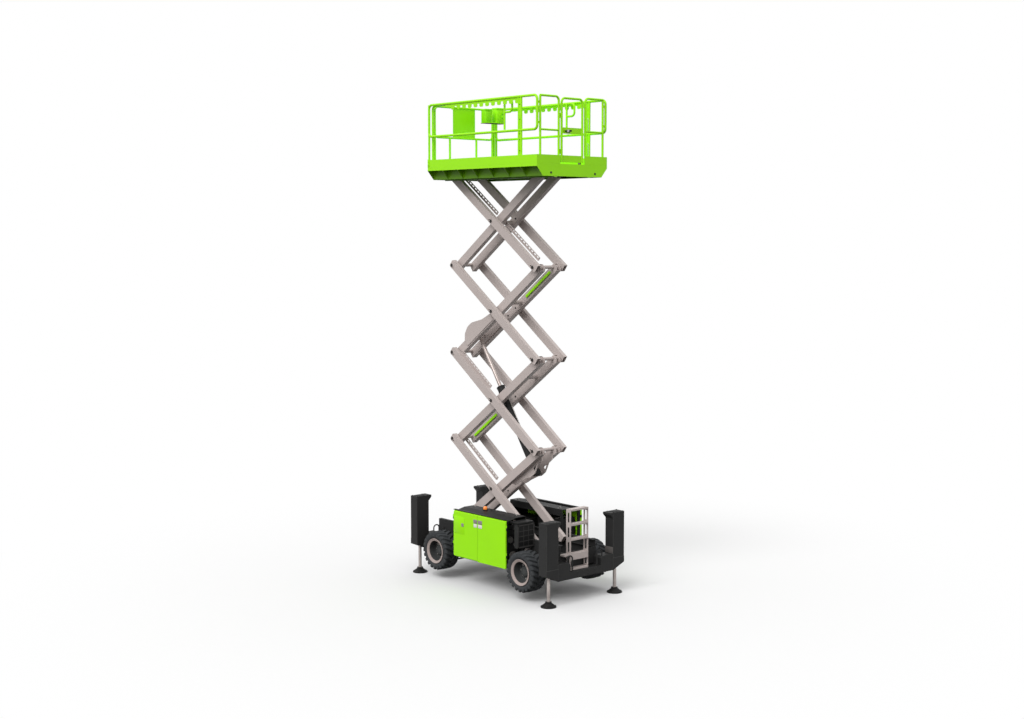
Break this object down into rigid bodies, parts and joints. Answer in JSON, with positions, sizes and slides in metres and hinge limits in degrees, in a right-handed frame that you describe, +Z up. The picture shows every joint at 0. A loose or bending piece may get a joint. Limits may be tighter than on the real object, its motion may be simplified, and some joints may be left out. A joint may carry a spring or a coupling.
{
  "type": "rough-terrain scissor lift",
  "caption": "Four-wheel rough-terrain scissor lift on four outriggers, raised part way, with a sliding deck extension, side modules and a rear ladder.",
  "frame": {"origin": "on the ground under the middle of the outrigger feet", "axes": "+X forward, away from the ladder; +Y to the machine's left; +Z up"},
  "size_m": [3.6599, 1.81, 8.3604],
  "materials": {
    "arm_paint": "satin warm grey paint",
    "black_paint": "satin black paint",
    "engine_iron": "painted casting",
    "lime_paint": "satin powder coat",
    "rail_paint": "satin warm grey paint",
    "rim_paint": "satin dark grey, light ring at the edge",
    "steel_rod": "polished rod",
    "tyre_rubber": "matt rubber"
  },
  "bodies": {
    "chassis": {"main_frame": "black_paint", "front_end_beam": "black_paint", "rear_end_beam": "black_paint", "front_axle": "black_paint", "rear_axle": "black_paint", "module_tray_left": "black_paint", "module_tray_right": "black_paint", "engine": "engine_iron", "fuel_and_oil_tanks": "black_paint", "radiator": "black_paint", "ladder": "rail_paint"},
    "inner_arms_1": {"inner_arms_1": "arm_paint"},
    "outer_arms_1": {"outer_arms_1": "arm_paint", "base_rollers": "black_paint"},
    "inner_arms_2": {"inner_arms_2": "arm_paint", "safety_bar_lower": "lime_paint"},
    "outer_arms_2": {"outer_arms_2": "arm_paint"},
    "inner_arms_3": {"inner_arms_3": "arm_paint", "safety_bar_upper": "lime_paint"},
    "outer_arms_3": {"outer_arms_3": "arm_paint"},
    "inner_arms_4": {"inner_arms_4": "arm_paint", "platform_rollers": "black_paint"},
    "outer_arms_4": {"outer_arms_4": "arm_paint"},
    "lift_barrel": {"lift_barrel": "black_paint"},
    "lift_rod": {"lift_rod": "steel_rod"},
    "platform": {"platform_deck": "lime_paint", "toe_boards": "lime_paint", "guard_rails": "lime_paint"},
    "gate": {"rear_gate": "lime_paint"},
    "extension": {"extension_deck": "lime_paint", "extension_rails": "lime_paint", "platform_controls": "lime_paint"},
    "outrigger_front_left": {"outrigger_leg_front_left": "steel_rod"},
    "outrigger_front_right": {"outrigger_leg_front_right": "steel_rod"},
    "outrigger_rear_left": {"outrigger_leg_rear_left": "steel_rod"},
    "outrigger_rear_right": {"outrigger_leg_rear_right": "steel_rod"},
    "steering_left": {"steering_knuckle_left": "black_paint"},
    "steering_right": {"steering_knuckle_right": "black_paint"},
    "tie_rod": {"tie_rod": "steel_rod"},
    "wheel_front_left": {"tyre_front_left": "tyre_rubber", "rim_front_left": "rim_paint"},
    "wheel_front_right": {"tyre_front_right": "tyre_rubber", "rim_front_right": "rim_paint"},
    "wheel_rear_left": {"tyre_rear_left": "tyre_rubber", "rim_rear_left": "rim_paint"},
    "wheel_rear_right": {"tyre_rear_right": "tyre_rubber", "rim_rear_right": "rim_paint"},
    "door_left_front": {"door_left_front": "lime_paint"},
    "door_left_rear": {"door_left_rear": "lime_paint"},
    "door_right_front": {"door_right_front": "lime_paint"},
    "door_right_rear": {"door_right_rear": "lime_paint"}
  },
  "joints": [
    {"name": "scissor_lift", "type": "hinge", "parent": "chassis", "child": "inner_arms_1", "pos_m": [1.297, 0, 0.886], "axis": [0, 1, 0], "range_deg": [-31.67, 23.83]},
    {"name": "stage_1_centre", "type": "hinge", "parent": "inner_arms_1", "child": "outer_arms_1", "pos_m": [0.23463, 0, 1.66268], "axis": [0, 1, 0], "range_deg": [-48.16, 63.84]},
    {"name": "stage_2_rear", "type": "hinge", "parent": "inner_arms_1", "child": "outer_arms_2", "pos_m": [-0.82773, 0, 2.43936], "axis": [0, 1, 0], "range_deg": [-48.16, 63.84]},
    {"name": "stage_2_centre", "type": "hinge", "parent": "outer_arms_2", "child": "inner_arms_2", "pos_m": [0.23463, 0, 3.21604], "axis": [0, 1, 0], "range_deg": [-63.84, 48.16]},
    {"name": "stage_3_rear", "type": "hinge", "parent": "inner_arms_2", "child": "outer_arms_3", "pos_m": [-0.82773, 0, 3.99272], "axis": [0, 1, 0], "range_deg": [-48.16, 63.84]},
    {"name": "stage_3_centre", "type": "hinge", "parent": "outer_arms_3", "child": "inner_arms_3", "pos_m": [0.23463, 0, 4.7694], "axis": [0, 1, 0], "range_deg": [-63.84, 48.16]},
    {"name": "stage_4_rear", "type": "hinge", "parent": "inner_arms_3", "child": "outer_arms_4", "pos_m": [-0.82773, 0, 5.54609], "axis": [0, 1, 0], "range_deg": [-48.16, 63.84]},
    {"name": "stage_4_centre", "type": "hinge", "parent": "outer_arms_4", "child": "inner_arms_4", "pos_m": [0.23463, 0, 6.32277], "axis": [0, 1, 0], "range_deg": [-63.84, 48.16]},
    {"name": "platform_pivot", "type": "hinge", "parent": "outer_arms_4", "child": "platform", "pos_m": [1.297, 0, 7.09945], "axis": [0, 1, 0], "range_deg": [-32.17, 24.33]},
    {"name": "lift_barrel_pivot", "type": "hinge", "parent": "inner_arms_1", "child": "lift_barrel", "pos_m": [-0.55589, 0, 2.01145], "axis": [0, 1, 0], "range_deg": [-47.45, 62.89]},
    {"name": "lift_rod_slide", "type": "slide", "parent": "lift_barrel", "child": "lift_rod", "axis": [0.5471, 0, 0.8371], "range_m": [-0.8341, 0.6289]},
    {"name": "platform_extension", "type": "slide", "parent": "platform", "child": "extension", "axis": [1, 0, 0], "range_m": [0, 1.5]},
    {"name": "rear_gate_hinge", "type": "hinge", "parent": "platform", "child": "gate", "pos_m": [-1.417, 0.268, 7.9], "axis": [0, 0, 1], "range_deg": [0, 90]},
    {"name": "outrigger_front_left_slide", "type": "slide", "parent": "chassis", "child": "outrigger_front_left", "axis": [0, 0, 1], "range_m": [-0.15, 0.38]},
    {"name": "outrigger_front_right_slide", "type": "slide", "parent": "chassis", "child": "outrigger_front_right", "axis": [0, 0, 1], "range_m": [-0.15, 0.38]},
    {"name": "outrigger_rear_left_slide", "type": "slide", "parent": "chassis", "child": "outrigger_rear_left", "axis": [0, 0, 1], "range_m": [-0.15, 0.38]},
    {"name": "outrigger_rear_right_slide", "type": "slide", "parent": "chassis", "child": "outrigger_rear_right", "axis": [0, 0, 1], "range_m": [-0.15, 0.38]},
    {"name": "steering_left_kingpin", "type": "hinge", "parent": "chassis", "child": "steering_left", "pos_m": [1.128, 0.64, 0.495], "axis": [0, 0, 1], "range_deg": [-24, 24]},
    {"name": "steering_right_kingpin", "type": "hinge", "parent": "chassis", "child": "steering_right", "pos_m": [1.128, -0.64, 0.495], "axis": [0, 0, 1], "range_deg": [-24.5, 24.5]},
    {"name": "tie_rod_pivot", "type": "hinge", "parent": "steering_left", "child": "tie_rod", "pos_m": [0.968, 0.55, 0.32], "axis": [0, 0, 1], "range_deg": [-28.5, 28.5]},
    {"name": "wheel_front_left_spin", "type": "hinge", "parent": "steering_left", "child": "wheel_front_left", "pos_m": [1.128, 0.74, 0.495], "axis": [0, 1, 0], "continuous": true},
    {"name": "wheel_front_right_spin", "type": "hinge", "parent": "steering_right", "child": "wheel_front_right", "pos_m": [1.128, -0.74, 0.495], "axis": [0, 1, 0], "continuous": true},
    {"name": "wheel_rear_left_spin", "type": "hinge", "parent": "chassis", "child": "wheel_rear_left", "pos_m": [-1.128, 0.74, 0.495], "axis": [0, 1, 0], "continuous": true},
    {"name": "wheel_rear_right_spin", "type": "hinge", "parent": "chassis", "child": "wheel_rear_right", "pos_m": [-1.128, -0.74, 0.495], "axis": [0, 1, 0], "continuous": true},
    {"name": "door_left_front_hinge", "type": "hinge", "parent": "chassis", "child": "door_left_front", "pos_m": [0.618, 0.88, 0.9], "axis": [0, 0, -1], "range_deg": [0, 90]},
    {"name": "door_left_rear_hinge", "type": "hinge", "parent": "chassis", "child": "door_left_rear", "pos_m": [-0.783, 0.88, 0.9], "axis": [0, 0, 1], "range_deg": [0, 90]},
    {"name": "door_right_front_hinge", "type": "hinge", "parent": "chassis", "child": "door_right_front", "pos_m": [0.618, -0.88, 0.9], "axis": [0, 0, 1], "range_deg": [0, 90]},
    {"name": "door_right_rear_hinge", "type": "hinge", "parent": "chassis", "child": "door_right_rear", "pos_m": [-0.783, -0.88, 0.9], "axis": [0, 0, -1], "range_deg": [0, 90]}
  ],
  "couplings": [
    {"joint": "stage_1_centre", "follows": "scissor_lift", "ratio": -2},
    {"joint": "stage_2_rear", "follows": "scissor_lift", "ratio": -2},
    {"joint": "stage_2_centre", "follows": "scissor_lift", "ratio": 2},
    {"joint": "stage_3_rear", "follows": "scissor_lift", "ratio": -2},
    {"joint": "stage_3_centre", "follows": "scissor_lift", "ratio": 2},
    {"joint": "stage_4_rear", "follows": "scissor_lift", "ratio": -2},
    {"joint": "stage_4_centre", "follows": "scissor_lift", "ratio": 2},
    {"joint": "platform_pivot", "follows": "scissor_lift", "ratio": 1},
    {"joint": "lift_barrel_pivot", "follows": "scissor_lift", "ratio": -1.97},
    {"joint": "lift_rod_slide", "follows": "scissor_lift", "m_per_rad": 1.5},
    {"joint": "steering_right_kingpin", "follows": "steering_left_kingpin", "ratio": 1},
    {"joint": "tie_rod_pivot", "follows": "steering_left_kingpin", "ratio": -1.157}
  ]
}
